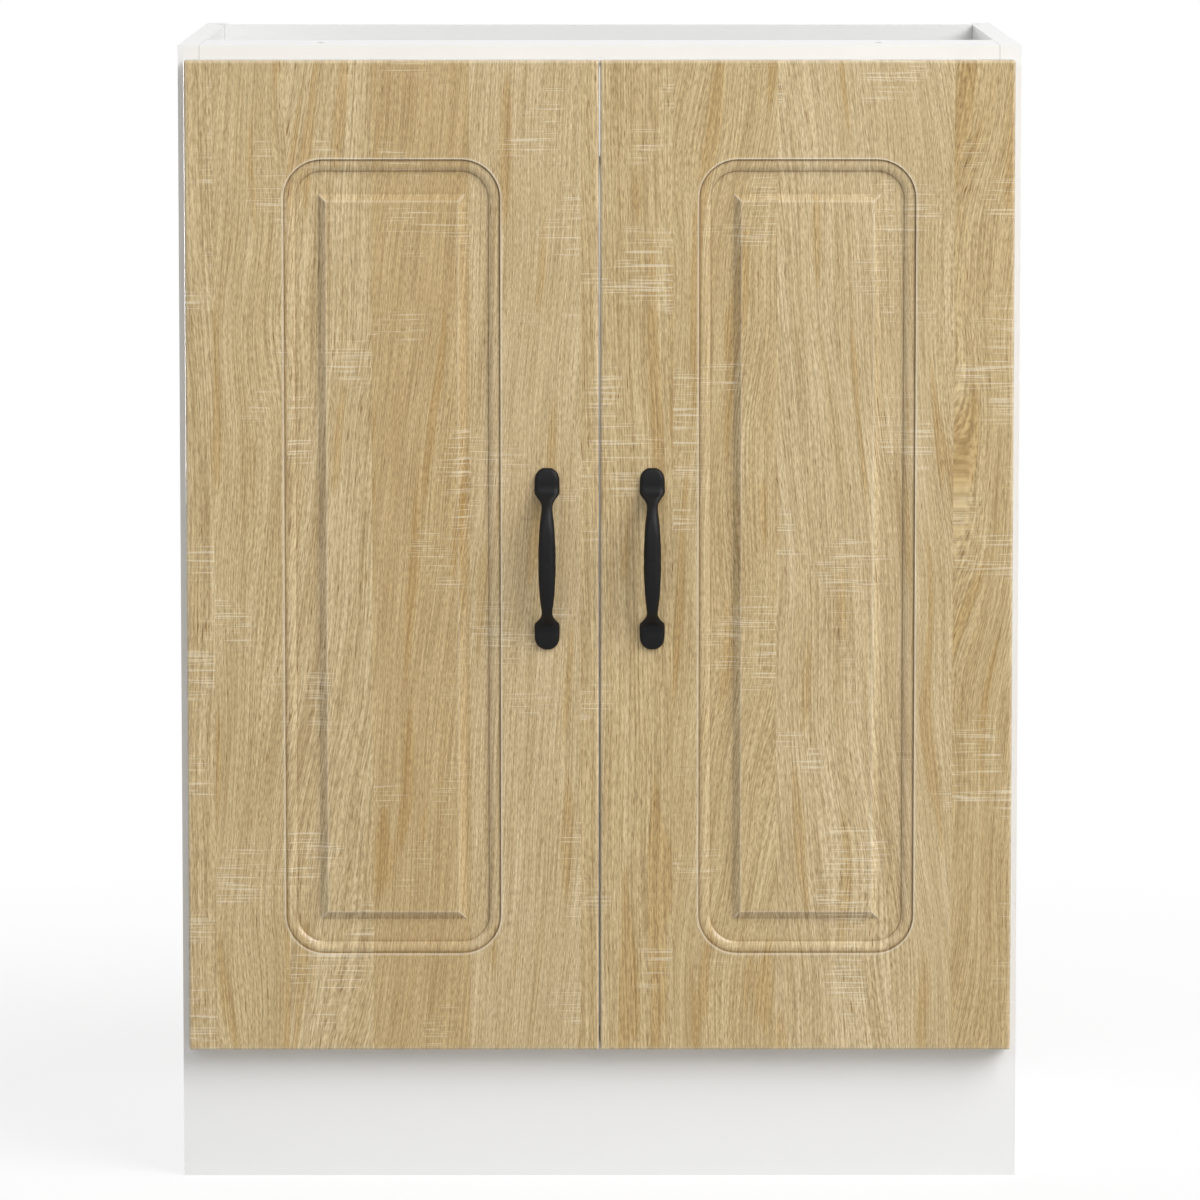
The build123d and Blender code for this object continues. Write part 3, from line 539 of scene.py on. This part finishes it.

# The foil is drawn smooth and glossy wherever it turns away from the door's face. A painted
# highlight makes it paler over the outer edges, and painted shade darkens the inner corners.
frontal = add(tree, "ShaderNodeMath", {0: facing["Y"]}, operation="ABSOLUTE").outputs[0]
steep, level = 0.80, 0.97
gloss = {
    "Value": frontal,
    "From Min": steep,
    "From Max": level,
    "To Min": drawn_gloss,
    "To Max": satin,
}
gloss = add(tree, "ShaderNodeMapRange", gloss).outputs["Result"]
tree.links.new(gloss, shader.inputs["Roughness"])
# Painted highlight: the outer edges, found by occlusion inside the door, are mixed towards pale
# cream.
edge_highlight_width, edge_highlight_strength = 2.0 * MM, 0.38
inside = {"Distance": edge_highlight_width}
inside = add(tree, "ShaderNodeAmbientOcclusion", inside, inside=True, only_local=True, samples=8)
edge_highlight_tones = [(0.80, "#FFFFFF"), (0.99, "#000000")]
painted_edge_highlight = add(tree, "ShaderNodeValToRGB", {"Fac": inside.outputs["AO"]}, edge_highlight_tones).outputs[0]
painted_edge_highlight = {0: painted_edge_highlight, 1: edge_highlight_strength}
painted_edge_highlight = add(tree, "ShaderNodeMath", painted_edge_highlight, operation="MULTIPLY").outputs[0]
both = {"Factor": painted_edge_highlight, "A": oak, "B": linear("#FBF4E2")}
oak = add(tree, "ShaderNodeMix", both, **cover).outputs["Result"]
# Painted shade: the inner corners, found by occlusion, are darkened towards grey brown.
corner_shade_width = 7.0 * MM
corner = {"Distance": corner_shade_width}
corner = add(tree, "ShaderNodeAmbientOcclusion", corner, only_local=True, samples=8)
corner_shade_tones = [(0.45, "#B0A492"), (0.97, "#FFFFFF")]
painted_corner_shade = add(tree, "ShaderNodeValToRGB", {"Fac": corner.outputs["AO"]}, corner_shade_tones).outputs[0]
both = {"Factor": 1.0, "A": oak, "B": painted_corner_shade}
oak = add(tree, "ShaderNodeMix", both, **darken).outputs["Result"]
tree.links.new(oak, shader.inputs["Base Color"])
relief = {"Height": fibres, "Distance": 0.04 * MM, "Strength": 0.5}
relief = add(tree, "ShaderNodeBump", relief).outputs["Normal"]
tree.links.new(relief, shader.inputs["Normal"])

# Raw fibreboard, cut by the hinge and screw bores, is brown, matt and even.
raw_fibreboard, tree, shader = new_material("raw_fibreboard", "#A98560", roughness=0.9)
relief = {"Height": grain(tree, (0.5, 0.5, 0.5)), "Distance": 0.1 * MM}
relief = add(tree, "ShaderNodeBump", relief).outputs["Normal"]
tree.links.new(relief, shader.inputs["Normal"])

for side in ("left", "right"):
    name = f"door_{side}"
    low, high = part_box(name)
    # The routed pattern ends less than 5 mm behind the face, and the bores begin behind it.
    pattern_floor = low.y + 5 * MM

    def on_back(centre, normal):
        return normal.y > 0.9 and high.y - centre.y < touching

    def in_bore(centre, normal):
        inset = min(centre.x - low.x, high.x - centre.x, centre.z - low.z, high.z - centre.z)
        return centre.y > pattern_floor and inset > touching and high.y - centre.y > touching

    dress(name, oak_foil, (white_melamine, on_back), (raw_fibreboard, in_bore))

# ---- Handles -------------------------------------------------------------------------------
# Bow handles cast in zinc alloy with a satin black lacquer, each held by two screws through the
# door.

# The baked lacquer is almost black and only half glossy, with a faint orange peel.
black_lacquer, tree, shader = new_material("black_lacquer", "#0C0C0D", roughness=0.5)
shader.inputs["Specular IOR Level"].default_value = 0.2
relief = {"Height": grain(tree, (1.2, 1.2, 1.2)), "Distance": 0.01 * MM, "Strength": 0.5}
relief = add(tree, "ShaderNodeBump", relief).outputs["Normal"]
tree.links.new(relief, shader.inputs["Normal"])
for side in ("left", "right"):
    dress(f"handle_{side}", black_lacquer)

# ---- Bumpers -------------------------------------------------------------------------------
# Clear soft polyurethane domes, glued on the doors' backs. They stop each door just off the
# bottom panel's edge.

# Cast polyurethane is glassy and slightly milky.
clear_polyurethane, tree, shader = new_material("clear_polyurethane", "#E4E4E0", roughness=0.15)
shader.inputs["Transmission Weight"].default_value = 0.6
for side in ("left", "right"):
    dress(f"bumper_{side}", clear_polyurethane)

# ---- Studio --------------------------------------------------------------------------------
# A pale floor that takes the cabinet's shadow and runs out to white, a soft key light from the
# upper right, weak fills from the left and from behind, and the camera, far off and looking
# slightly down.

# The camera stands where the photo's perspective puts it. Lengths are in metres, and the focal
# length is in pixels of the photo.
carcass_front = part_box("side_panel_left")[0].y
camera_distance = 5.4814
camera_height = 1.0281
camera_aside = -0.0113
aim_aside = 0.0003
aim_height = 0.4181
photo_size = 1200
focal_pixels = 7696

camera_data = bpy.data.cameras.new("camera")
camera_data.sensor_width = 36
camera_data.lens = focal_pixels / photo_size * camera_data.sensor_width
camera_data.clip_end = 50
camera = bpy.data.objects.new("camera", camera_data)
bpy.context.scene.collection.objects.link(camera)
camera.location = (camera_aside, carcass_front - camera_distance, camera_height)
look = Vector((aim_aside, carcass_front, aim_height)) - camera.location
camera.rotation_euler = look.to_track_quat("-Z", "Y").to_euler()
bpy.context.scene.camera = camera


def lamp(name, place, target, size, power):
    """A square soft box at a place, turned to its target."""
    data = bpy.data.lights.new(name, "AREA")
    data.shape = "SQUARE"
    data.size = size
    data.energy = power
    lit = bpy.data.objects.new(name, data)
    bpy.context.scene.collection.objects.link(lit)
    lit.location = place
    aim = Vector(target) - Vector(place)
    lit.rotation_euler = aim.to_track_quat("-Z", "Y").to_euler()


lamp("key", place=(4.0, -3.6, 4.6), target=(0, -0.2, 0.4), size=5.0, power=470)
lamp("fill", place=(-2.2, -4.8, 2.6), target=(0, 0, 0.4), size=2.5, power=38)
lamp("back_fill", place=(-2.5, 4.5, 0.6), target=(0, 0, 0.4), size=1.2, power=110)


def seen_directly(tree):
    """One for the rays from the camera, a mirror or glass, and nought for the others."""
    path = add(tree, "ShaderNodeLightPath").outputs
    seen = path["Is Camera Ray"]
    for ray in ("Is Glossy Ray", "Is Transmission Ray"):
        seen = {0: seen, 1: path[ray]}
        seen = add(tree, "ShaderNodeMath", seen, operation="MAXIMUM").outputs[0]
    return seen


# White paper: matt. It glows for the camera, more and more away from the cabinet, so that it
# ends in plain white, and it sends a quieter light back to the object.
reach = 12
floor_mesh = bpy.data.meshes.new("floor")
corners = [(x * reach, y * reach, 0) for x, y in ((-1, -1), (1, -1), (1, 1), (-1, 1))]
floor_mesh.from_pydata(corners, [], [(0, 1, 2, 3)])
floor = bpy.data.objects.new("floor", floor_mesh)
bpy.context.scene.collection.objects.link(floor)
paper, tree, shader = new_material("white_paper", "#F4F4F4", roughness=0.9)
shader.inputs["Specular IOR Level"].default_value = 0.0
quiet = add(tree, "ShaderNodeBsdfDiffuse", {"Color": linear("#BEBEBE")})
glow = add(tree, "ShaderNodeEmission", {"Color": linear("#FFFFFF"), "Strength": 1.0})
place = add(tree, "ShaderNodeTexCoord").outputs["Object"]
radius = add(tree, "ShaderNodeVectorMath", {0: place}, operation="LENGTH").outputs["Value"]
near, far, glow_near = 0.5, 1.4, 0.8
share = {"Value": radius, "From Min": near, "From Max": far, "To Min": glow_near}
share = add(tree, "ShaderNodeMapRange", share).outputs["Result"]
shown = {0: share, 1: shader.outputs[0], 2: glow.outputs[0]}
shown = add(tree, "ShaderNodeMixShader", shown).outputs[0]
both = {0: seen_directly(tree), 1: quiet.outputs[0], 2: shown}
both = add(tree, "ShaderNodeMixShader", both).outputs[0]
tree.links.new(both, tree.nodes["Material Output"].inputs["Surface"])
floor_mesh.materials.append(paper)
floor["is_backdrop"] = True

# The surroundings show plain white and light the object weakly from all sides.
world = bpy.data.worlds.new("studio")
world.use_nodes = True
bpy.context.scene.world = world
tree = world.node_tree
tree.nodes.clear()
ambient_strength = 0.32
light = {"Color": linear("#FFFFFF"), "Strength": ambient_strength}
light = add(tree, "ShaderNodeBackground", light).outputs[0]
white = {"Color": linear("#FFFFFF"), "Strength": 1.0}
white = add(tree, "ShaderNodeBackground", white).outputs[0]
mixed = add(tree, "ShaderNodeMixShader", {0: seen_directly(tree), 1: light, 2: white})
add(tree, "ShaderNodeOutputWorld", {"Surface": mixed.outputs[0]})

bpy.context.scene.view_settings.view_transform = "Standard"

low, high = cad_box
new_low, new_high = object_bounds()
sizes = {"cad": [list(low), list(high)], "visual": [list(new_low), list(new_high)]}
